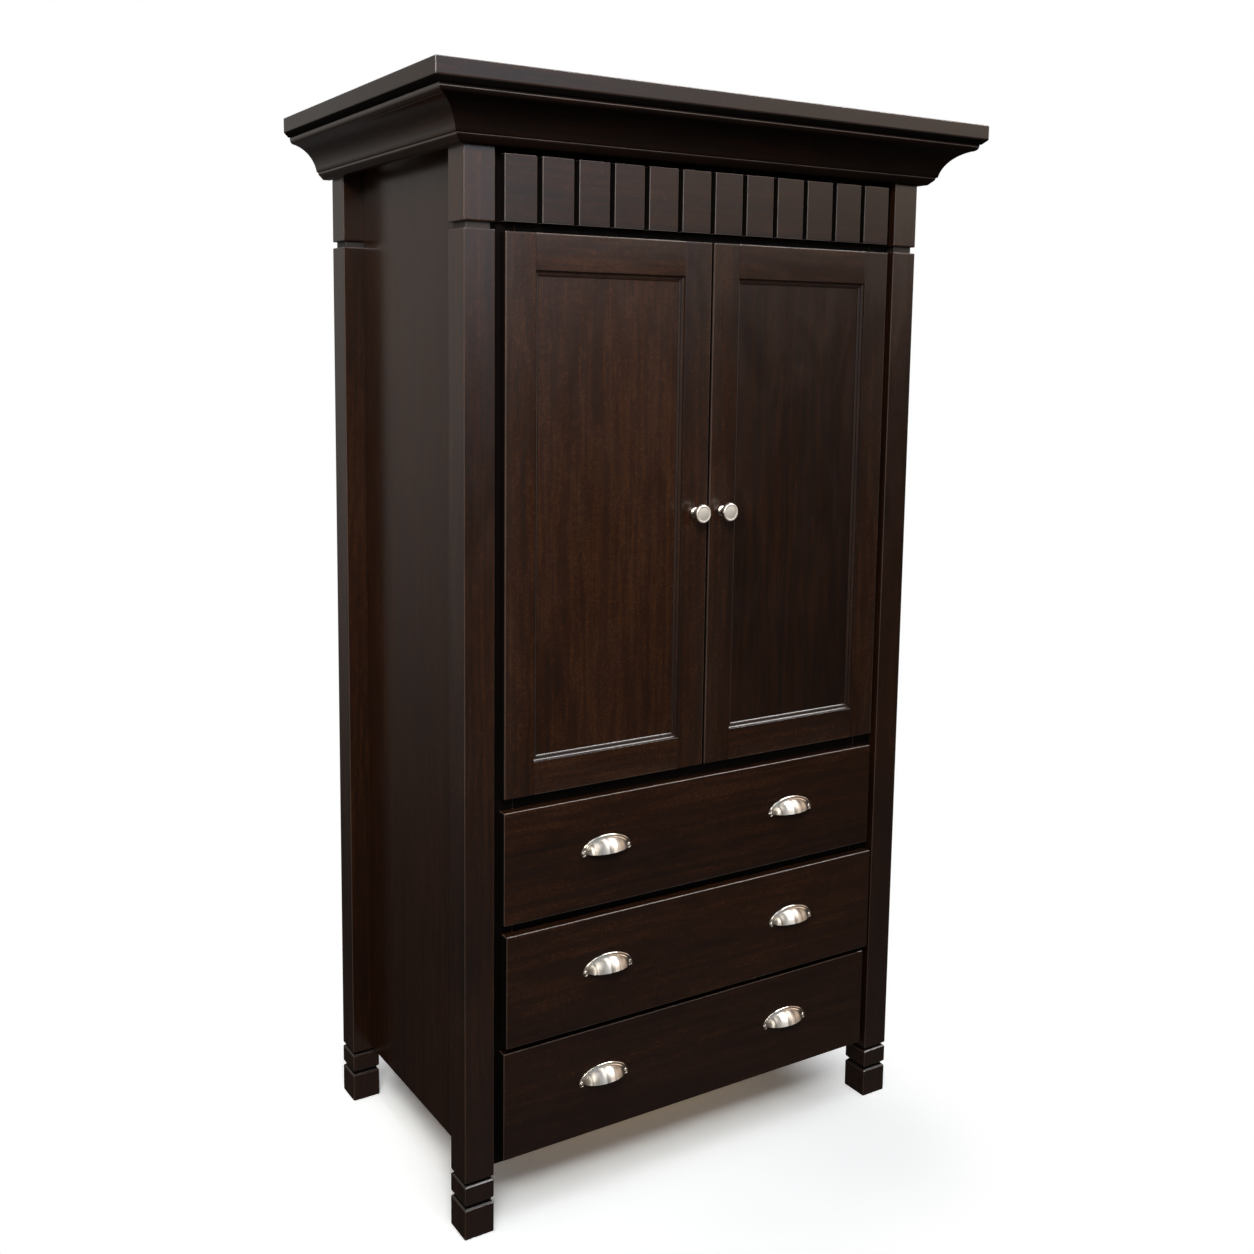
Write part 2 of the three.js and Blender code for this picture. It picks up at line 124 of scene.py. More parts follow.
# What lights the stain itself is evener, and comes more from the left.
lighting = ramp_over(room, axes.outputs["X"], -0.5, 0.6, 0.34, 0.12)
rays = wire(room, "ShaderNodeLightPath").outputs
strength = wire(room, "ShaderNodeMix", {0: rays["Is Diffuse Ray"], 2: mirrored, 3: lighting},
                data_type="FLOAT").outputs[0]
far_right = ramp_over(room, axes.outputs["X"], 0.45, 0.62, 0.0, 1.0)
low_down = ramp_over(room, axes.outputs["Z"], 0.0, 0.10, 0.55, 0.0)
warm = wire(room, "ShaderNodeMath", {0: far_right, 1: low_down}, operation="MAXIMUM").outputs[0]
sky = wire(room, "ShaderNodeMixRGB", {0: warm, 1: DAYLIGHT, 2: LAMPLIGHT}).outputs[0]
tint = wire(room, "ShaderNodeMixRGB", {0: rightward, 1: WALL_TINT, 2: sky}).outputs[0]
room_light = wire(room, "ShaderNodeBackground", {"Color": tint, "Strength": strength}).outputs[0]
backdrop = wire(room, "ShaderNodeBackground", {"Color": WHITE, "Strength": 1.0}).outputs[0]
surround = wire(room, "ShaderNodeMixShader", {0: rays["Is Camera Ray"], 1: room_light, 2: backdrop})
wire(room, "ShaderNodeOutputWorld", {0: surround.outputs[0]})


def softbox(name, place, aim, size, watts, colour=(1, 1, 1), spread=180):
    """A rectangular area light at place, turned to face aim. Spread is its beam in degrees."""
    data = bpy.data.lights.new(name, "AREA")
    data.shape = "RECTANGLE"
    data.size, data.size_y = size
    data.energy = watts
    data.color = colour
    data.spread = math.radians(spread)
    lamp = bpy.data.objects.new(name, data)
    lamp.location = place
    back = np.array(place, float) - np.array(aim, float)
    flat = math.hypot(back[0], back[1])
    lamp.rotation_euler = (math.atan2(flat, back[2]), 0, math.atan2(back[0], -back[1]))
    bpy.context.collection.objects.link(lamp)
    return lamp


softbox("overhead", (-0.5, -1.0, 4.8), (-0.5, -0.1, 0), (1.5, 3.0), 68)
softbox("key", (-1.7, -2.2, 3.0), (-0.75, -0.25, 1.75), (1.2, 1.2), 17, (1.0, 0.97, 0.93), spread=60)
edge_light = softbox("edge", (2.7, -1.5, 4.4), (2.7, 0.3, 0.9), (2.8, 0.9), 300)
edge_light.visible_diffuse = False


def blank_material(name):
    """A material whose node tree is empty, and the tree."""
    material = bpy.data.materials.new(name)
    material.use_nodes = True
    material.node_tree.nodes.clear()
    return material, material.node_tree


FLOOR_RADIUS = 4.2
FLOOR_PAINT = (1.6975, 1.75, 1.8025, 1)
SHADED_MIDDLE = (-0.14, -0.05, 0.0)
SHADED_HALF = (0.40, 0.27, 0.0)
FADE_START, FADE_END = 0.05, 0.36

turn = np.linspace(0, 2 * np.pi, 97)[:-1]
rim = np.stack([np.cos(turn), np.sin(turn), 0 * turn], axis=1) * FLOOR_RADIUS
floor_mesh = bpy.data.meshes.new("floor")
floor_mesh.from_pydata(rim.tolist(), [], [list(range(len(rim)))])
floor = bpy.data.objects.new("floor", floor_mesh)
bpy.context.collection.objects.link(floor)

# The paint shows within and close round a rectangle under the case, and white shows beyond it.
pale, tree = blank_material("pale_floor")
spot = wire(tree, "ShaderNodeTexCoord").outputs["Object"]
for operation, other in (("SUBTRACT", SHADED_MIDDLE), ("ABSOLUTE", (0, 0, 0)),
                         ("SUBTRACT", SHADED_HALF), ("MAXIMUM", (0, 0, 0))):
    spot = wire(tree, "ShaderNodeVectorMath", {0: spot, 1: other}, operation=operation).outputs[0]
reach = wire(tree, "ShaderNodeVectorMath", {0: spot}, operation="LENGTH").outputs["Value"]
fade = ramp_over(tree, reach, FADE_START, FADE_END, 0.0, 1.0)
paint = wire(tree, "ShaderNodeBsdfDiffuse", {"Color": FLOOR_PAINT}).outputs[0]
white = wire(tree, "ShaderNodeEmission", {"Color": WHITE, "Strength": 1.0}).outputs[0]
ground_shader = wire(tree, "ShaderNodeMixShader", {0: fade, 1: paint, 2: white})
wire(tree, "ShaderNodeOutputMaterial", {0: ground_shader.outputs[0]})
floor_mesh.materials.append(pale)
floor.visible_glossy = False
floor.visible_diffuse = False


# ---- posts ----------------------------------------------------------------------------------
# Four square posts of solid maple run from the floor to the top board and carry the whole case.
# A square groove is cut round the neck and two V grooves round each foot, and the long edges are eased.
def carry(rings, painted_light_and_wear=0.0):
    """A closed shell over rings of points that follow each other along a path. A quad joins each pair
    of neighbours on two rings, and a flat face closes each end. If the signed volume, a sum of triple
    products, comes out negative, the faces are turned round. Places are (along the ring, along the
    path), each from 0 to 1."""
    rings = np.asarray(rings, float)
    count, size = rings.shape[:2]
    points = rings.reshape(-1, 3)
    index = np.arange(count * size).reshape(count, size)
    near, far = index[:-1], index[1:]
    quads = np.stack([near, np.roll(near, -1, 1), np.roll(far, -1, 1), far], axis=-1).reshape(-1, 4)
    caps = [index[0][::-1], index[-1]]
    a, b, c, d = (points[quads[:, k]] for k in range(4))
    volume = np.sum(a * np.cross(b, c)) + np.sum(a * np.cross(c, d))
    for cap in caps:
        edge = points[cap]
        volume += np.sum(edge[0] * np.cross(edge[1:-1], edge[2:]))
    faces = quads.tolist() + [cap.tolist() for cap in caps]
    if volume < 0:
        faces = [face[::-1] for face in faces]
    station, corner = np.meshgrid(np.linspace(0, 1, count), np.linspace(0, 1, size), indexing="ij")
    places = np.stack([corner, station], axis=-1).reshape(-1, 2)
    return points, faces, np.broadcast_to(painted_light_and_wear, (count, size)).reshape(-1), places


def eased_ring(low, high, radius, round_off, steps=4):
    """A rectangle from low to high whose corners are arcs of the given radius, with one more point on
    each straight side next to each arc. The second array is 1 on the arcs and 0 elsewhere."""
    angle = np.linspace(0, np.pi / 2, steps + 1)
    arc = np.stack([np.cos(angle), np.sin(angle)], axis=1) * radius
    before, after = [[radius, -round_off]], [[-round_off, radius]]
    corner = np.vstack([before, arc, after])
    mask = np.r_[0.0, np.sin(np.linspace(0, np.pi, steps + 1)), 0.0]
    ring = []
    for k, signs in enumerate([(1, 1), (-1, 1), (-1, -1), (1, -1)]):
        outer = [high[axis] if sign > 0 else low[axis] for axis, sign in enumerate(signs)]
        centre = np.array([outer[0] - signs[0] * radius, outer[1] - signs[1] * radius])
        ordered = corner if k % 2 == 0 else corner[::-1]
        ring.append(centre + ordered * signs)
    return np.vstack(ring), np.tile(mask, 4)


def run_along(axis, sections, stations):
    """Flat sections (count, size, 2) stood across an axis at the given stations. The two numbers of a
    section are the next two axes in the cycle X, Y, Z."""
    rings = np.concatenate([np.asarray(sections), np.zeros(np.shape(sections)[:2] + (1,))], axis=2)
    rings[:, :, 2] = np.asarray(stations)[:, None]
    return np.roll(rings, "ZXY".index(axis), axis=2)


# Below this level at every corner, a face takes the near-black finish of painted shade.
PAINTED_SHADE_LEVEL = -0.75


def piece(name, shells, finish, body, slot, *nodes, crease=32, recess=None):
    """One mesh from closed shells, smooth except where two faces meet at more than the crease angle.
    Faces that lie wholly in painted shade, below the shade level at each corner, get the recess finish,
    which is painted shade as well."""
    mesh = bpy.data.meshes.new(name)
    start, points, faces, painted_light_and_wear, places = 0, [], [], [], []
    for shell_points, shell_faces, shell_painted_light_and_wear, shell_places in shells:
        points.append(shell_points)
        painted_light_and_wear.append(shell_painted_light_and_wear)
        places.append(shell_places)
        faces += [[v + start for v in face] for face in shell_faces]
        start += len(shell_points)
    mesh.from_pydata(np.vstack(points).tolist(), [], faces)
    painted_light_and_wear = np.concatenate(painted_light_and_wear)
    mesh.attributes.new("painted_light_and_wear", "FLOAT", "POINT").data.foreach_set("value", painted_light_and_wear.astype(np.float32))
    corners = np.empty(len(mesh.loops), np.int32)
    mesh.loops.foreach_get("vertex_index", corners)
    along = np.vstack(places)[corners].astype(np.float32)
    mesh.uv_layers.new(name="along").data.foreach_set("uv", along.reshape(-1))
    mesh.polygons.foreach_set("use_smooth", np.ones(len(faces), bool))
    mesh.set_sharp_from_angle(angle=math.radians(crease))
    mesh.materials.append(finish)
    if recess:
        mesh.materials.append(recess)
        first = np.empty(len(faces), np.int32)
        mesh.polygons.foreach_get("loop_start", first)
        deep = np.maximum.reduceat(painted_light_and_wear[corners], first) < PAINTED_SHADE_LEVEL
        mesh.polygons.foreach_set("material_index", deep.astype(np.int32))
    made = bpy.data.objects.new(name, mesh)
    bpy.context.collection.objects.link(made)
    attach(made, body)
    if nodes:
        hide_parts(*nodes)
    return made


# STAIN lists tones from 0 to 1, each with the linear colour of the wood there.
GRAIN_TURN = {"X": (0, 0, 0), "Y": (0, 0, -math.pi / 2), "Z": (0, math.pi / 2, 0)}
STAIN = [(0.26, (0.0085, 0.0042, 0.0027)), (0.50, (0.0180, 0.0063, 0.0027)),
         (0.70, (0.0320, 0.0112, 0.0040)), (0.95, (0.0560, 0.0200, 0.0070))]
# The pale colour below is worn wood lightened further into a painted highlight; the near-black one after it
# is painted shade.
WORN_EDGE_AND_HIGHLIGHT = (0.17, 0.12, 0.095)
PAINTED_SHADE_BLACK = (0.0022, 0.0014, 0.0011, 1)
CURL_SHARPNESS = 25.0


def wood(name, grain, seed, tones=STAIN, shade=0.0, lacquer=0.24, specular=0.45, figure=1.0,
         edge_wear_and_highlight=WORN_EDGE_AND_HIGHLIGHT):
    """Maple under stain and lacquer. The tone is a sum of layers along the grain: growth rings about a
    pith beside the board, fine streaks, cloudy patches where the stain took unevenly, and thin curls.
    The point attribute lightens an edge towards a pale colour (up to 1), partly wear and partly a painted
    highlight, and darkens a place towards near black (to -1), which is painted shade."""
    material, tree = blank_material(name)
    here = wire(tree, "ShaderNodeTexCoord").outputs["Object"]
    board = wire(tree, "ShaderNodeMapping", {"Vector": here, "Rotation": GRAIN_TURN[grain],
                                             "Location": (seed * 1.37, seed * 0.61, seed * 0.29)}).outputs[0]

    def stretched(scale):
        """Places on the board in repeats per metre, along the grain first and then across it."""
        return wire(tree, "ShaderNodeVectorMath", {0: board, 1: scale}, operation="MULTIPLY").outputs[0]

    def noise(scale, detail, rough=0.55, bend=0.0):
        values = {"Vector": stretched(scale), "Scale": 1.0, "Detail": detail, "Roughness": rough,
                  "Distortion": bend}
        return wire(tree, "ShaderNodeTexNoise", values).outputs["Fac"]

    def sums(operation, a, b, c=0.0):
        return wire(tree, "ShaderNodeMath", {0: a, 1: b, 2: c}, operation=operation).outputs[0]

    rings = wire(tree, "ShaderNodeTexWave",
                 {"Vector": stretched((0.11, 1.0, 1.0)), "Scale": 21.0, "Distortion": 11.0, "Detail": 3.5,
                  "Detail Scale": 1.6, "Detail Roughness": 0.62},
                 wave_type="RINGS", rings_direction="X", wave_profile="SIN").outputs["Fac"]
    streak = noise((0.6, 80.0, 80.0), 5.0, 0.66, 0.06)
    hair = noise((3.5, 400.0, 400.0), 3.0, 0.55)
    cloud = noise((1.5, 5.5, 5.5), 3.0, 0.50, 0.6)
    patch = noise((4.0, 13.0, 13.0), 3.0, 0.6, 1.2)
    bent = noise((30.0, 34.0, 34.0), 2.0, 0.5, 2.6)
    off_line = sums("ABSOLUTE", sums("SUBTRACT", bent, 0.5), 0.0)
    curl = sums("MAXIMUM", sums("MULTIPLY_ADD", off_line, -CURL_SHARPNESS, 1.0), 0.0)
    pores = noise((40.0, 900.0, 900.0), 2.0, 0.5)
    layers = [(rings, 0.13, 0.5), (streak, 0.42, 0.5), (hair, 0.30, 0.5), (cloud, 0.50, 0.5),
              (patch, 0.20, 0.5), (curl, 0.18, 0.13), (pores, 0.10, 0.5)]
    tone = 0.5 + shade
    for layer, weight, middle in layers:
        start = sums("ADD", tone, -weight * middle * figure)
        tone = sums("MULTIPLY_ADD", layer, weight * figure, start)
    ramp = wire(tree, "ShaderNodeValToRGB", {0: tone})
    while len(ramp.color_ramp.elements) < len(tones):
        ramp.color_ramp.elements.new(0.5)
    for element, (at, colour) in zip(ramp.color_ramp.elements, tones):
        element.position = at
        element.color = (*colour, 1)
    # Above 0 the point attribute paints a highlight with some wear on an edge. Below 0 it paints shade into
    # grooves, gaps and faces turned from the light.
    painted_light_and_wear = wire(tree, "ShaderNodeAttribute", attribute_name="painted_light_and_wear").outputs["Fac"]
    glint_and_rub = sums("MULTIPLY", sums("MAXIMUM", painted_light_and_wear, 0.0), sums("MULTIPLY_ADD", patch, 0.6, 0.15))
    painted_shade_amount = sums("MINIMUM", sums("MAXIMUM", sums("MULTIPLY", painted_light_and_wear, -1.0), 0.0), 1.0)
    lit = wire(tree, "ShaderNodeMixRGB", {0: glint_and_rub, 1: ramp.outputs[0], 2: (*edge_wear_and_highlight, 1)}).outputs[0]
    cover = sums("MULTIPLY", painted_shade_amount, 0.92)
    colour = wire(tree, "ShaderNodeMixRGB", {0: cover, 1: lit, 2: PAINTED_SHADE_BLACK}).outputs[0]
    peel = noise((70.0, 70.0, 70.0), 2.0)
    depth = sums("MULTIPLY_ADD", curl, 0.22, peel)
    skin = wire(tree, "ShaderNodeBump", {"Height": depth, "Strength": 0.10, "Distance": 0.0006}).outputs[0]
    satin = sums("MULTIPLY_ADD", patch, 0.16, lacquer - 0.08)
    gloss = sums("MULTIPLY_ADD", painted_shade_amount, 0.5, satin)
    shader = wire(tree, "ShaderNodeBsdfPrincipled", {"Base Color": colour, "Roughness": gloss,
                                                     "Normal": skin, "Specular IOR Level": specular})
    wire(tree, "ShaderNodeOutputMaterial", {0: shader.outputs[0]})
    return material


POST_EASE = 1.8 * MM
FOOT_GROOVES = [(54 * MM, 65 * MM), (97 * MM, 106 * MM)]
NECK_GROOVE = (1741.5 * MM, 1753.2 * MM)
GROOVE_DEPTH = 6 * MM
LIP = 0.9 * MM
# Near-black tones: painted shade for recesses, gaps and faces that the light hardly reaches.
PAINTED_SHADE_TONES = [(0.2, (0.0010, 0.0007, 0.0006)), (0.8, (0.0034, 0.0019, 0.0013))]

post_wood = wood("stained_post", "Z", 1.0, shade=-0.05, specular=0.62)
# A dull near-black finish of painted shade, for faces deep in a groove or a gap.
painted_shade_wood = wood("painted_shade_wood", "Z", 0.4, PAINTED_SHADE_TONES, lacquer=0.7, specular=0.06)


def post_shell(low, high):
    """The square section carried up the post, drawn in by the depth of a groove where one is cut. Each
    station is (height, inset, wear and painted light). Painted shade darkens each groove (values below 0,
    down to -1), a painted highlight lies on the groove lips, and the eased corners carry a painted
    highlight with some wear."""
    stations = [(0, 3.0 * MM, 0), (0, 1.4 * MM, 0), (0.4 * MM, 0.5 * MM, 0.3), (1.4 * MM, 0, 0),
                (4 * MM, 0, 0)]
    for near, far in FOOT_GROOVES:
        middle = (near + far) / 2
        half = (near + middle) / 2
        stations += [(near - 3 * LIP, 0, 0), (near - LIP, 0, 0), (near - 0.2 * LIP, 0.25 * LIP, 0.5),
                     (near + 0.4 * LIP, LIP, 0.2), (half, GROOVE_DEPTH * 0.52, -0.9),
                     (middle, GROOVE_DEPTH, -1), (far - 0.4 * LIP, LIP, -0.6),
                     (far + 0.2 * LIP, 0.25 * LIP, 0), (far + LIP, 0, 0), (far + 3 * LIP, 0, 0)]
    near, far = NECK_GROOVE
    stations += [(near - 3 * LIP, 0, 0), (near - LIP, 0, 0), (near - 0.3 * LIP, 0.3 * LIP, 0.6),
                 (near, LIP, 0.4), (near, 2.5 * LIP, -0.5), (near, GROOVE_DEPTH, -0.7),
                 (far, GROOVE_DEPTH, -0.7), (far, LIP, -0.6), (far + 0.3 * LIP, 0.3 * LIP, 0.2),
                 (far + LIP, 0, 0), (far + 3 * LIP, 0, 0)]
    stations += [(high[2], 0, 0)]
    sections, painted_light_and_wear_rings = [], []
    for _, inset, painted_light_and_wear in stations:
        section, edge = eased_ring(low[:2] + inset, high[:2] - inset, POST_EASE, 0.6 * MM)
        sections.append(section)
        painted_light_and_wear_rings.append(0.6 * edge + 0 * painted_light_and_wear if painted_light_and_wear == 0 else painted_light_and_wear + 0 * edge)
    return carry(run_along("Z", sections, [z for z, _, _ in stations]), np.array(painted_light_and_wear_rings))


for name in ("post_front_left", "post_front_right", "post_rear_left", "post_rear_right"):
    low, high = (np.array(corner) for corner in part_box(name))
    piece(name + "_shaped", [post_shell(low, high)], post_wood, "case", "stained_maple", name,
          recess=painted_shade_wood)


# ---- side and back panels ---------------------------------------------------------------------
# Each side is a flat panel let in between two posts, well back from their outer faces. The back is a
# thin panel between the rear posts. Both are veneered and stained like the posts.
def board(low, high, ease=1.0 * MM, along="X", steps=4, ends=0.0):
    """A board with eased edges. Its section is a rounded rectangle, and towards each end the section
    draws in along a quarter circle of the same radius. The eased edges carry a painted highlight with some
    wear, and the flat ends carry the value given; a value below 0 is painted shade."""
    axis = "XYZ".index(along)
    order = [(axis + 1) % 3, (axis + 2) % 3]
    low, high = np.array(low, float), np.array(high, float)
    angle = np.linspace(0, np.pi / 2, steps + 1)
    rounded = [(ease * (1 - math.cos(t)), ease * (1 - math.sin(t))) for t in angle]
    near = [(0, 1.5 * ease)] + rounded + [(1.5 * ease, 0)]
    stations = [(low[axis] + at, inset) for at, inset in near]
    stations += [(high[axis] - at, inset) for at, inset in reversed(near)]
    sections, painted_light_and_wear_rings = [], []
    for at, inset in stations:
        radius = max(ease - inset, 0.03 * ease)
        push = inset if inset > ease else ease - radius
        section, painted_light_and_wear = eased_ring(low[order] + push, high[order] - push, radius, 0.5 * ease, steps)
        sections.append(section)
        turned_in = min(1.0, inset / ease) if inset <= ease else 0.0
        flat = 0 * painted_light_and_wear + ends
        painted_light_and_wear_rings.append(flat if inset >= ease else np.maximum(painted_light_and_wear, math.sin(math.pi * turned_in)))
    return carry(run_along(along, sections, [at for at, _ in stations]), np.array(painted_light_and_wear_rings))


def boards(names, finish, body="case", slot="stained_maple", along="X", ease=1.0 * MM, ends=0.0):
    """A board in the place of each CAD board named."""
    for name in names:
        piece(name + "_eased", [board(*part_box(name), ease, along, ends=ends)], finish, body, slot, name,
              recess=painted_shade_wood if ends < 0 else None)


panel_wood = wood("stained_side_panel", "Z", 2.3, specular=0.36, figure=0.7)
inside_wood = wood("stained_inside", "X", 5.1, lacquer=0.5, figure=0.7)
back_wood = wood("stained_back", "Z", 7.9, lacquer=0.45, figure=0.7)
boards(["side_panel_left", "side_panel_right"], panel_wood, along="Z")
boards(["back_panel"], back_wood, slot="inside_wood", along="Z")


# ---- face frame -------------------------------------------------------------------------------
# Two stiles and five rails of stained maple, glued up flat and set back behind the doors and drawer
# fronts. They close the gaps between them and hold the hinges.
# The stiles and rails take near-black tones and hardly any gloss: painted shade, for they lie back in the
# dark gaps.
frame_wood = wood("frame_stile_painted_shade", "Z", 3.7, PAINTED_SHADE_TONES, lacquer=0.6, specular=0.06)
rail_wood = wood("frame_rail_painted_shade", "X", 4.2, PAINTED_SHADE_TONES, lacquer=0.6, specular=0.06)
boards(["frame_stile_left", "frame_stile_right"], frame_wood, along="Z")
boards(["frame_rail_top", "frame_rail_middle", "frame_rail_drawer_upper", "frame_rail_drawer_lower",
        "frame_rail_bottom"], rail_wood)


# ---- frieze -----------------------------------------------------------------------------------
# One wide board across the front above the doors. Upright grooves leave twelve blocks standing, with
# the grain running straight through them, and each block's edges are sanded round.
BLOCKS = 12
BLOCK_GAP = 10.3 * MM
BLOCK_EASE = 1.3 * MM
BLOCK_FACE = 14 * MM
BLOCK_ROOT = 2 * MM
BLOCK_BOTTOM, BLOCK_TOP = 1755 * MM, 1863 * MM

frieze_low, frieze_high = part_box("frieze_board")
front_low, front_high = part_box("drawer_top_front")
block_width = (front_high[0] - front_low[0] - (BLOCKS - 1) * BLOCK_GAP) / BLOCKS
ground = frieze_low[1] + BLOCK_FACE
# The ground between the blocks and each block's two sides are painted near black, painted shade; the blocks'
# eased edges carry a painted highlight with some wear.
points, faces, painted_light_and_wear, places = board((frieze_low[0], ground, frieze_low[2]), frieze_high, 0.6 * MM)
shells = [(points, faces, painted_light_and_wear * 0 - 1, places)]
for k in range(BLOCKS):
    x = front_low[0] + k * (block_width + BLOCK_GAP)
    shells.append(board((x, frieze_low[1], BLOCK_BOTTOM),
                        (x + block_width, ground + BLOCK_ROOT, BLOCK_TOP), BLOCK_EASE, ends=-1.0))
frieze_wood = wood("stained_frieze", "X", 6.4, shade=-0.06, figure=1.1, edge_wear_and_highlight=(0.36, 0.32, 0.31))
piece("frieze_with_blocks", shells, frieze_wood, "case", "stained_maple", "frieze_board",
      recess=painted_shade_wood)


# ---- crown ------------------------------------------------------------------------------------
# A sprung cove moulding in three lengths, mitred at the front corners. From the bottom up its face is
# a bevel, a narrow fillet, the cove, a small quarter round and a second fillet under the top board.
def arc_between(start, end, rise, steps=12):
    """Points of the circular arc from start to end that bulges by rise to the left of the chord."""
    start, end = np.array(start, float), np.array(end, float)
    chord = end - start
    length = np.hypot(*chord)
    radius = (length * length / 4 + rise * rise) / (2 * abs(rise))
    half = math.asin(length / 2 / radius)
    angle = np.linspace(-half, half, steps + 1)[:, None]
    along = 0.5 + radius * np.sin(angle) / length
    off = math.copysign(1, rise) * radius * (np.cos(angle) - math.cos(half)) / length
    return start + along * chord + off * np.array([-chord[1], chord[0]])


case_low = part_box("post_front_left")[0]
case_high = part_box("post_rear_right")[1]
crown_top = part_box("crown_front")[1][2]
# The section in mm, as (offset out from the case, height): the face from the bottom up, then the back.
crown_outline = np.vstack([
    [[0.3, 1872], [13.4, 1872], [14.0, 1872.3], [23.1, 1881.3], [23.5, 1882.0], [23.5, 1883.7]],
    [[23.5, 1884.4], [23.9, 1884.8], [24.6, 1885.2], [26.5, 1886.2]],
    arc_between((27, 1886.7), (70, 1933.6), 9),
    arc_between((70.4, 1933.9), (79.6, 1942.2), -2.6, 5),
    [[80, 1942.8], [80, 1943.6], [80, crown_top / MM]],
    [[64, crown_top / MM], [0.3, 1888]],
]) * MM
# Heights and widths in mm of the painted highlights along the two fillets.
FILLET_HIGHLIGHTS = [(1884.6, 0.5), (1942.4, 0.45)]


def crown_length(near_end, far_end, shade):
    """The outline carried between two cuts: each cut gives x and y as a function of the offset. The two
    fillets carry a painted highlight, each with a bell curve of height, and painted shade, as much as
    the shade given, lies on all the rest."""
    offset, z = crown_outline.T
    fillet_highlight = sum(np.exp(-((z - middle * MM) / (width * MM)) ** 2) for middle, width in FILLET_HIGHLIGHTS)
    rings = []
    for x, y in (near_end(offset), far_end(offset)):
        rings.append(np.stack([x + 0 * offset, y + 0 * offset, z], axis=1))
    return carry(rings, fillet_highlight - shade * (1 - fillet_highlight))


crown_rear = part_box("crown_left")[1][1]
JOINT = 0.2 * MM
# The front length is a darker copy of the side lengths' finish, with painted shade over its whole face
# except the fillets.
FRONT_SHADE = 0.76
crown_wood = wood("crown_front_painted_shade", "X", 8.8, shade=-0.12, specular=0.07, edge_wear_and_highlight=(0.60, 0.56, 0.54))
crown_side_wood = wood("stained_crown_side", "Y", 9.6, shade=-0.02, specular=0.8,
                       edge_wear_and_highlight=(0.28, 0.25, 0.23))
crown_lengths = {
    "crown_front": (lambda o: (case_low[0] - o + JOINT, case_low[1] - o),
                    lambda o: (case_high[0] + o - JOINT, case_low[1] - o), FRONT_SHADE, crown_wood),
    "crown_left": (lambda o: (case_low[0] - o, case_low[1] - o + JOINT),
                   lambda o: (case_low[0] - o, crown_rear), 0.0, crown_side_wood),
    "crown_right": (lambda o: (case_high[0] + o, case_low[1] - o + JOINT),
                    lambda o: (case_high[0] + o, crown_rear), 0.0, crown_side_wood),
}
for node, (near_end, far_end, shade, finish) in crown_lengths.items():
    piece(node + "_moulded", [crown_length(near_end, far_end, shade)], finish, "case", "stained_maple",
          node)


# ---- top board --------------------------------------------------------------------------------
# A thick glued-up board caps the case and overhangs it on three sides. A wide chamfer under its edge
# leads into the crown, and the edge itself is eased.
CHAMFER = 8.5 * MM
TOP_EASE = 1.8 * MM
top_low, top_high = (np.array(corner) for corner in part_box("top_board"))
quarter = np.linspace(0, np.pi / 2, 5)
edge_low = top_low[2] + CHAMFER
stations = [(top_low[2], CHAMFER + 2 * MM), (top_low[2], CHAMFER), (edge_low - 0.8 * MM, 0.5 * MM),
            (edge_low + 0.6 * MM, 0), (edge_low + 2.5 * MM, 0), (top_high[2] - 2 * TOP_EASE, 0)]
stations += [(top_high[2] - TOP_EASE * (1 - math.sin(t)), TOP_EASE * (1 - math.cos(t))) for t in quarter]
stations += [(top_high[2], 2 * TOP_EASE)]
sections, painted_light_and_wear_rings = [], []
for z, inset in stations:
    rear_inset = min(inset, TOP_EASE) if z > edge_low else 0
    section, painted_light_and_wear = eased_ring(top_low[:2] + inset, (top_high[0] - inset, top_high[1] - rear_inset),
                               TOP_EASE, 1 * MM)
    rounding = 1.0 if 0 < inset < TOP_EASE else 0.0
    sections.append(section)
    # The chamfer and underside are painted near black, painted shade; the rounded top edge carries a painted
    # highlight with some wear.
    painted_light_and_wear_rings.append(0 * painted_light_and_wear - 1 if z < edge_low else np.maximum(painted_light_and_wear, rounding))
top_wood = wood("stained_top", "X", 10.2, shade=-0.16, specular=0.42, figure=1.1,
                edge_wear_and_highlight=(0.30, 0.28, 0.28))
top_shell = carry(run_along("Z", sections, [z for z, _ in stations]), np.array(painted_light_and_wear_rings))
piece("top_board_chamfered", [top_shell], top_wood, "case", "stained_maple", "top_board",
      recess=painted_shade_wood)


# ---- wardrobe inside ----------------------------------------------------------------------------
# Stained plywood makes the floor, the ceiling and the hat shelf behind the doors. The rod for hangers
# is steel tube in two screwed sockets.
boards(["wardrobe_floor", "wardrobe_ceiling", "hat_shelf"], inside_wood, slot="inside_wood", ease=0.8 * MM)
BRUSH_LINES = (0.3, 11.0, 0.0)


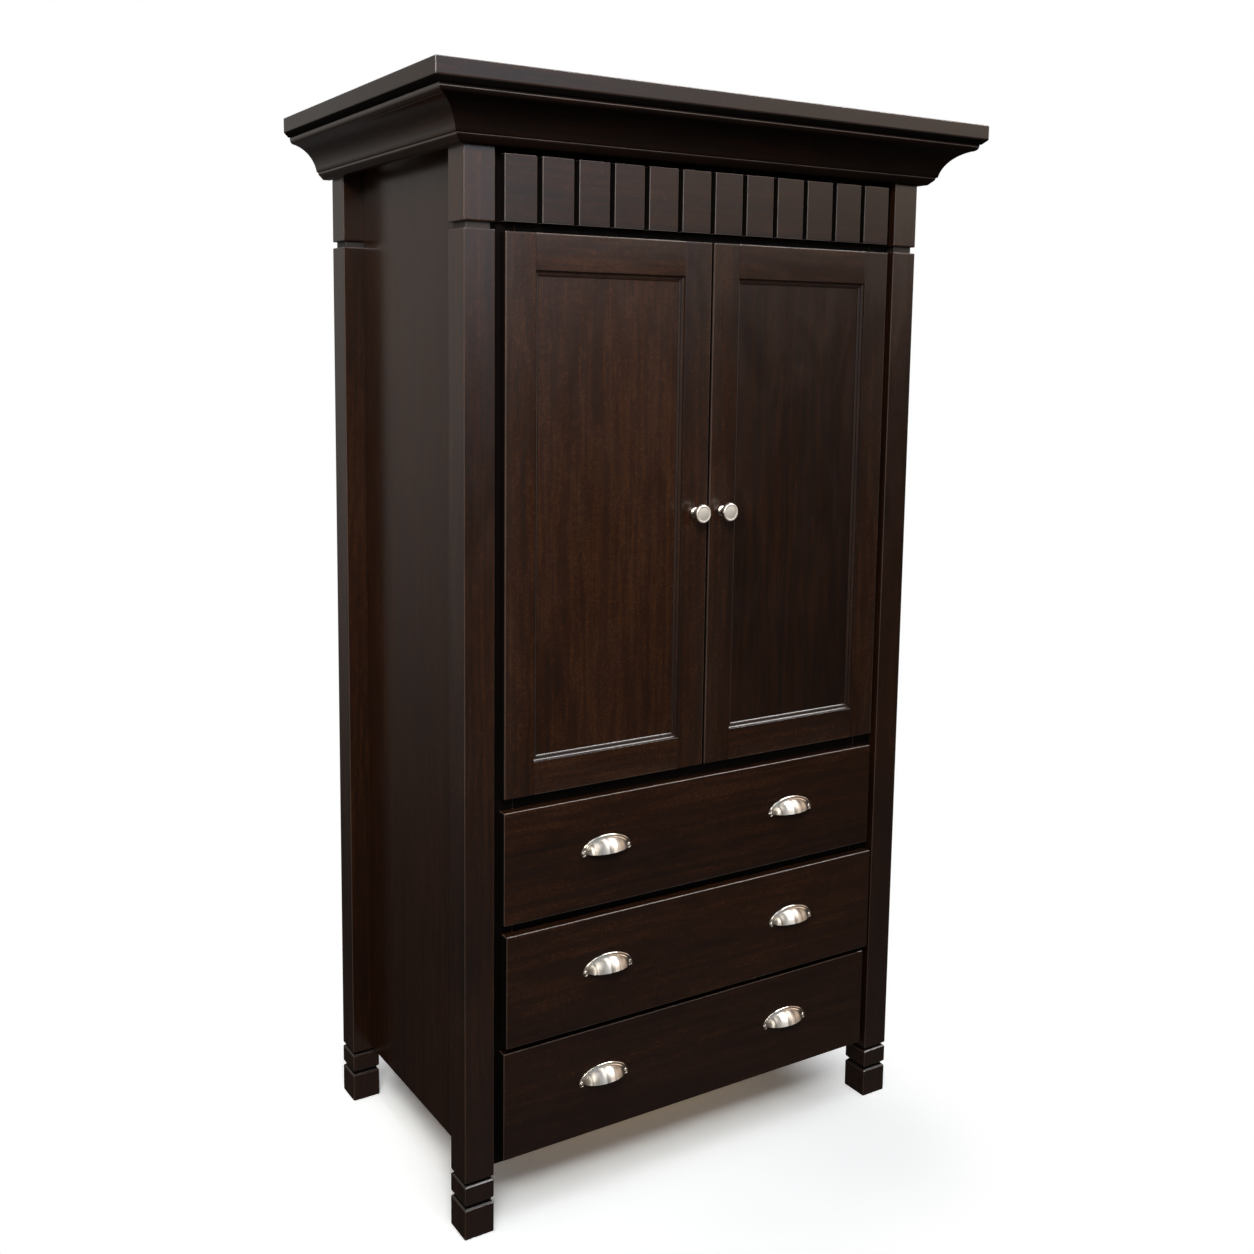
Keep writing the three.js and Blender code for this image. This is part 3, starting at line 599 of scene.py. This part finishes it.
def metal(name, colour, roughness, brushed=0.0, satin=0.0, matte=0.0):
    """Plated metal. A brushed finish draws its highlights out across the brush marks, which run along
    the path that the section was carried on, and round a turned piece. Where the point attribute is 1,
    satin is added to the roughness and matte is taken off the metallic share."""
    material, tree = blank_material(name)
    here = wire(tree, "ShaderNodeTexCoord").outputs["Object"]
    place = wire(tree, "ShaderNodeUVMap", uv_map="along").outputs[0]
    lines = wire(tree, "ShaderNodeVectorMath", {0: place, 1: BRUSH_LINES}, operation="MULTIPLY").outputs[0]
    marks = wire(tree, "ShaderNodeTexNoise", {"Vector": lines, "Scale": 1.0, "Detail": 4.0}).outputs["Fac"]
    fine = wire(tree, "ShaderNodeTexNoise", {"Vector": here, "Scale": 900.0, "Detail": 3.0}).outputs["Fac"]
    uneven = wire(tree, "ShaderNodeMath", {0: marks, 1: 0.3 * brushed, 2: 1.0 - 0.15 * brushed},
                  operation="MULTIPLY_ADD").outputs[0]
    rough = wire(tree, "ShaderNodeMath", {0: uneven, 1: roughness}, operation="MULTIPLY").outputs[0]
    grain = wire(tree, "ShaderNodeBump", {"Height": fine, "Strength": 0.12, "Distance": 0.00003}).outputs[0]
    dark = tuple(c * (1.0 - 0.65 * brushed) for c in colour)
    worn = ramp_over(tree, marks, 0.38, 0.50, 0.0, 1.0)
    shade = wire(tree, "ShaderNodeMixRGB", {0: worn, 1: (*dark, 1), 2: (*colour, 1)}).outputs[0]
    mask = wire(tree, "ShaderNodeAttribute", attribute_name="painted_light_and_wear").outputs["Fac"]
    rough = wire(tree, "ShaderNodeMath", {0: mask, 1: satin, 2: rough}, operation="MULTIPLY_ADD").outputs[0]
    share = wire(tree, "ShaderNodeMath", {0: mask, 1: -matte, 2: 1.0}, operation="MULTIPLY_ADD").outputs[0]
    across = wire(tree, "ShaderNodeTangent", direction_type="UV_MAP", uv_map="along").outputs[0]
    shader = wire(tree, "ShaderNodeBsdfPrincipled",
                  {"Base Color": shade, "Metallic": share, "Roughness": rough, "Normal": grain,
                   "Anisotropic": brushed, "Tangent": across})
    wire(tree, "ShaderNodeOutputMaterial", {0: shader.outputs[0]})
    return material


steel = metal("plated_steel", (0.62, 0.62, 0.61), 0.28)
nickel = metal("satin_nickel", (0.55, 0.50, 0.44), 0.40, brushed=0.95, satin=-0.29)
knob_nickel = metal("knob_nickel", (0.60, 0.555, 0.50), 0.24, satin=0.22, matte=0.65)
HAIR = 0.02 * MM


def turned(outline, centre, axis, segments=48, painted_light_and_wear=0.0):
    """An outline of (distance along the axis, radius) turned about an axis through centre. A radius of
    nought is opened to a hair, so that the end closes with a small flat face."""
    outline = np.array(outline, float)
    outline[:, 1] = np.maximum(outline[:, 1], HAIR)
    angle = np.linspace(0, 2 * np.pi, segments, endpoint=False)
    circle = np.stack([np.cos(angle), np.sin(angle)], axis=1)
    sections = outline[:, 1][:, None, None] * circle
    rings = run_along(axis, sections, outline[:, 0])
    points, faces, painted_light_and_wear, places = carry(rings + np.array(centre), np.reshape(painted_light_and_wear, (-1, 1)))
    return points, faces, painted_light_and_wear, places[:, ::-1]


def refinish(names, finish):
    """The CAD nodes named keep their shape and take this finish."""
    for name in names:
        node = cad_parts[name]
        node.data.materials.clear()
        node.data.materials.append(finish)


refinish(["hanging_rod", "rod_socket_left", "rod_socket_right"], steel)


# ---- drawer runners -----------------------------------------------------------------------------
# Under each drawer lies an open web frame of stained maple. A strip along each side of it keeps the
# box straight as it slides.
refinish(["web_frame_top", "web_frame_middle", "web_frame_bottom"], inside_wood)


# ---- doors --------------------------------------------------------------------------------------
# Each door is a frame of two stiles and two rails round a flat panel. The inner edge of the frame is
# moulded with a quarter round and a small cove, mitred where a rail meets a stile.
DOOR_EASE = 1.6 * MM
STILE_FLAT = 57 * MM
RAIL_FLAT = {"top_rail": 61 * MM, "bottom_rail": 59 * MM}
HALF_JOINT = 0.15 * MM
QUIRKS = (0.2 * MM, 5.6 * MM, 9.5 * MM)
QUIRK_REACH = 0.35 * MM
MOULDING_DEPTH = 9.5 * MM
BACK_EASE = 0.6 * MM


def member_outline(flat, thickness):
    """A stile or rail in section, as distance in from its outer edge and distance back from the face."""
    ease = DOOR_EASE
    angle = np.linspace(0, np.pi / 2, 5)[:, None]
    outer_front = np.hstack([ease * (1 - np.cos(angle)), ease * (1 - np.sin(angle))])
    outer_back = np.hstack([BACK_EASE + 0 * angle[:1], thickness + 0 * angle[:1]])
    moulded = np.vstack([
        [[55.8, 0], [56.7, 0.05], [57.0, 0.35], [57.0, 1.3], [57.5, 1.3]],
        arc_between((57.5, 1.3), (62.4, 5.0), 1.4, 6),
        [[62.4, 5.7], [62.9, 5.9]],
        arc_between((62.9, 5.9), (66.3, 8.4), -0.5, 4),
        [[66.5, 8.8], [66.5, thickness / MM]],
    ]) * MM
    moulded[:, 0] += flat - STILE_FLAT
    return np.vstack([[[0, thickness - BACK_EASE], [0, 1.6 * ease]], outer_front,
                      [[1.8 * ease, 0]], moulded, outer_back])


def door_member(kind, low, high, outer_left):
    """The outline carried along the member. At a corner each point of the moulding stops on the mitre:
    as far past the flat of the neighbour as it lies past the flat of its own piece. Painted shade lies in
    the quirks between the mouldings and on the outer edge behind the face, and a painted highlight with
    some wear along the outer front edge."""
    upright = kind.endswith("stile")
    flat = STILE_FLAT if upright else RAIL_FLAT[kind]
    outline = member_outline(flat, high[1] - low[1])
    inward, back = outline.T
    past = np.maximum(inward - flat, 0)
    y = low[1] + back
    if upright:
        side = 1 if (kind == "outer_stile") == outer_left else -1
        edge = low[0] if side > 0 else high[0]
        short = edge + side * np.minimum(inward, flat)
        full = edge + side * inward
        first = low[2] + RAIL_FLAT["bottom_rail"]
        last = high[2] - RAIL_FLAT["top_rail"]
        ends = [(0, DOOR_EASE), (0.3 * DOOR_EASE, 0.3 * DOOR_EASE), (DOOR_EASE, 0), (2 * DOOR_EASE, 0)]

        def drawn_in(z, inset):
            """The outline with no point nearer than inset to the outer edge or to the face."""
            x = edge + side * np.clip(np.minimum(inward, flat), inset, None)
            return np.stack([x, low[1] + np.clip(back, inset, None), z + 0 * y], 1)

        rings = [drawn_in(low[2] + at, inset) for at, inset in ends]
        rings.append(np.stack([short, y, first + 0 * y], 1))
        rings.append(np.stack([full, y, first + past], 1))
        rings.append(np.stack([full, y, last - past], 1))
        rings.append(np.stack([short, y, last + 0 * y], 1))
        rings += [drawn_in(high[2] - at, inset) for at, inset in reversed(ends)]
    else:
        side = 1 if kind == "bottom_rail" else -1
        edge = low[2] if side > 0 else high[2]
        z = edge + side * inward
        rings = [np.stack([low[0] - HALF_JOINT + past, y, z], 1),
                 np.stack([high[0] + HALF_JOINT - past, y, z], 1)]
    painted_light_and_wear = 0.7 * np.exp(-((inward - 0.3 * DOOR_EASE) / DOOR_EASE) ** 2 - (back / DOOR_EASE) ** 2)
    past_flat = inward - flat
    for quirk in QUIRKS:
        in_quirk = (np.abs(past_flat - quirk) < QUIRK_REACH) & (back < MOULDING_DEPTH)
        painted_light_and_wear = np.where(in_quirk, -1.0, painted_light_and_wear)
    painted_light_and_wear = np.where((inward < 0.1 * MM) & (back > 1.5 * DOOR_EASE), -1.0, painted_light_and_wear)
    return carry(rings, painted_light_and_wear)


stile_wood = wood("stained_door_stile", "Z", 12.5, shade=-0.03)
door_rail_wood = wood("stained_door_rail", "X", 13.1)
# The right panel is darker in tone than the left.
door_panel_wood = {"left": wood("stained_left_panel", "Z", 14.9, shade=0.03),
                   "right": wood("stained_right_panel", "Z", 21.7, shade=-0.13)}
for side in ("left", "right"):
    body = side + "_door"
    for kind in ("outer_stile", "inner_stile", "top_rail", "bottom_rail"):
        node = f"door_{side}_{kind}"
        low, high = (np.array(corner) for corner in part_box(node))
        finish = stile_wood if kind.endswith("stile") else door_rail_wood
        piece(node + "_moulded", [door_member(kind, low, high, side == "left")], finish, body,
              "stained_maple", node, recess=painted_shade_wood)
    boards([f"door_{side}_panel"], door_panel_wood[side], body, along="Z", ease=0.6 * MM)


# ---- knobs --------------------------------------------------------------------------------------
# Turned knobs in satin nickel, screwed through the stile from behind: a round foot, a waisted neck
# and a low head with a fine ring cut near its rim.
# (distance out from the door, radius) in mm.
KNOB = [(0.0, 0), (0.0, 9.0), (0.5, 9.7), (1.6, 10.0), (2.6, 9.5), (3.6, 8.0), (5.4, 6.7), (8.6, 5.9),
        (12.0, 6.1), (15.0, 7.4), (17.2, 10.2), (18.8, 13.8), (20.4, 16.1), (22.4, 17.1), (24.0, 17.2),
        (26.2, 16.8), (27.9, 16.0), (29.0, 14.9), (29.3, 14.0), (29.1, 13.2), (28.5, 12.5), (28.4, 12.0),
        (28.7, 11.0), (29.2, 8.0), (29.7, 4.0), (29.8, 0)]
KNOB_FACE = 28.2
for side in ("left", "right"):
    node = f"door_{side}_knob"
    low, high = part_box(node)
    centre = [(low[0] + high[0]) / 2, high[1], (low[2] + high[2]) / 2]
    outline = [(-at * MM, radius * MM) for at, radius in KNOB]
    face = [float(at > KNOB_FACE) for at, _ in KNOB]
    piece(node + "_turned", [turned(outline, centre, "Y", painted_light_and_wear=face)], knob_nickel, side + "_door",
          "satin_nickel", node, crease=50)


# ---- drawers ------------------------------------------------------------------------------------
# Solid maple fronts with softly rounded edges, screwed from inside to boxes of clear-finished maple.
drawer_wood = {"top": wood("stained_drawer_top", "X", 15.3),
               "middle": wood("stained_drawer_middle", "X", 16.8),
               "bottom": wood("stained_drawer_bottom", "X", 18.4, shade=-0.04)}
PLAIN = [(0.20, (0.42, 0.27, 0.145)), (0.5, (0.58, 0.41, 0.245)), (0.85, (0.70, 0.53, 0.345))]
box_wood = wood("clear_drawer_box", "Y", 20.0, PLAIN, lacquer=0.45, figure=0.5, edge_wear_and_highlight=(0.6, 0.45, 0.3))
for level in ("top", "middle", "bottom"):
    # Each front's two flat ends are painted near black, painted shade; its eased edges carry a painted
    # highlight with some wear.
    boards([f"drawer_{level}_front"], drawer_wood[level], "drawer_" + level, ease=1.8 * MM, ends=-1.0)
    refinish([f"drawer_{level}_box"], box_wood)


# ---- cup pulls ----------------------------------------------------------------------------------
# Pressed cup pulls in satin nickel: a hollow quarter dome, a beaded rim that arches over it and ends
# in a round ear on each side, and a small round-headed screw through each ear.
EAR_X = 47.5
FLANGE_OUTER, FLANGE_INNER = (52.6, 28.5), (42.4, 20.2)
# FLANGE is (share of the way from the outer edge of the rim to the inner one, mm proud of the drawer).
# EAR and SCREW are (distance along Y, radius) in mm.
FLANGE = [(0, 0), (0, 1.0), (0.06, 1.9), (0.16, 2.4), (0.27, 2.3), (0.36, 1.7), (0.42, 1.2),
          (0.50, 1.1), (0.56, 1.5), (0.66, 2.4), (0.80, 2.8), (0.92, 2.5), (1.0, 1.9), (1.0, 0)]
EAR = [(0, 0), (0, 5.5), (-1.4, 5.5), (-2.1, 5.1), (-2.4, 4.5), (-2.2, 3.8), (-1.4, 3.3), (-1.3, 0)]
SCREW = [(-1.0, 0), (-1.0, 2.8), (-1.6, 2.75), (-2.2, 2.3), (-2.6, 1.4), (-2.7, 0)]
DOME = (43.4, 21.0, 21.2)
DOME_WALL = 1.5
DOME_POLE = 0.012
LIP_BEAD, LIP_BEAD_WIDTH = 0.5, 0.07
LIP_DROP = 0.7


def pull_shells(centre):
    """The flange is its outline carried over the arch, from the outer half ellipse to the inner one.
    The dome is a quarter ellipsoid between two poles at the ears: longitude runs from ear to ear,
    latitude from the drawer front over the top to the lip."""
    centre = np.array(centre)
    sweep = np.linspace(0, np.pi, 73)[:, None]
    across, proud = np.array(FLANGE).T
    half_width, height = (outer + (inner - outer) * across
                          for outer, inner in zip(FLANGE_OUTER, FLANGE_INNER))
    thinned = 0.6 + 0.4 * np.clip(np.sin(sweep) / 0.35, 0, 1)
    rings = np.stack([half_width * np.cos(sweep), -proud * thinned, height * np.sin(sweep)], -1)
    points, faces, painted_light_and_wear, places = carry(rings * MM + centre, 1.0)
    shells = [(points, faces, painted_light_and_wear, places[:, ::-1])]
    u = np.linspace(DOME_POLE, np.pi - DOME_POLE, 61)[:, None]
    v = np.linspace(0, np.pi / 2, 17)[None, :]
    bead = LIP_BEAD * np.exp(-((v - np.pi / 2) / LIP_BEAD_WIDTH) ** 2)

    def dome_face(shrink):
        a, b, c = (size - shrink for size in DOME)
        out = -(b + bead) * np.sin(u) * np.sin(v)
        return np.stack([a * np.cos(u) + 0 * v, out, c * np.sin(u) * np.cos(v)], -1)

    outer, inner = dome_face(0.0), dome_face(DOME_WALL)
    lip = (outer[:, -1:] + inner[:, -1:]) / 2 + np.array([0, 0, -LIP_DROP])
    section = np.concatenate([outer, lip, inner[:, ::-1]], axis=1)
    shells.append(carry(section * MM + centre))
    for x in (-EAR_X, EAR_X):
        at = centre + np.array([x * MM, 0, 0])
        shells += [turned(np.array(outline) * MM, at, "Y", 32, 1.0) for outline in (EAR, SCREW)]
    return shells


for level in ("top", "middle", "bottom"):
    for side in ("left", "right"):
        node = f"drawer_{level}_pull_{side}"
        low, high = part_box(node)
        centre = [(low[0] + high[0]) / 2, high[1], low[2] + 5.5 * MM]
        piece(node + "_pressed", pull_shells(centre), nickel, "drawer_" + level, "satin_nickel", node,
              crease=50)


# ---- hinges -------------------------------------------------------------------------------------
# Concealed hinges in plated steel: a round cup bored into the back of the stile, and a plate with an
# arm screwed to the edge of the face frame.
for end in ("lower", "upper"):
    for side in ("left", "right"):
        refinish([f"door_{side}_hinge_cup_{end}", f"hinge_plate_{end}_{side}"], steel)
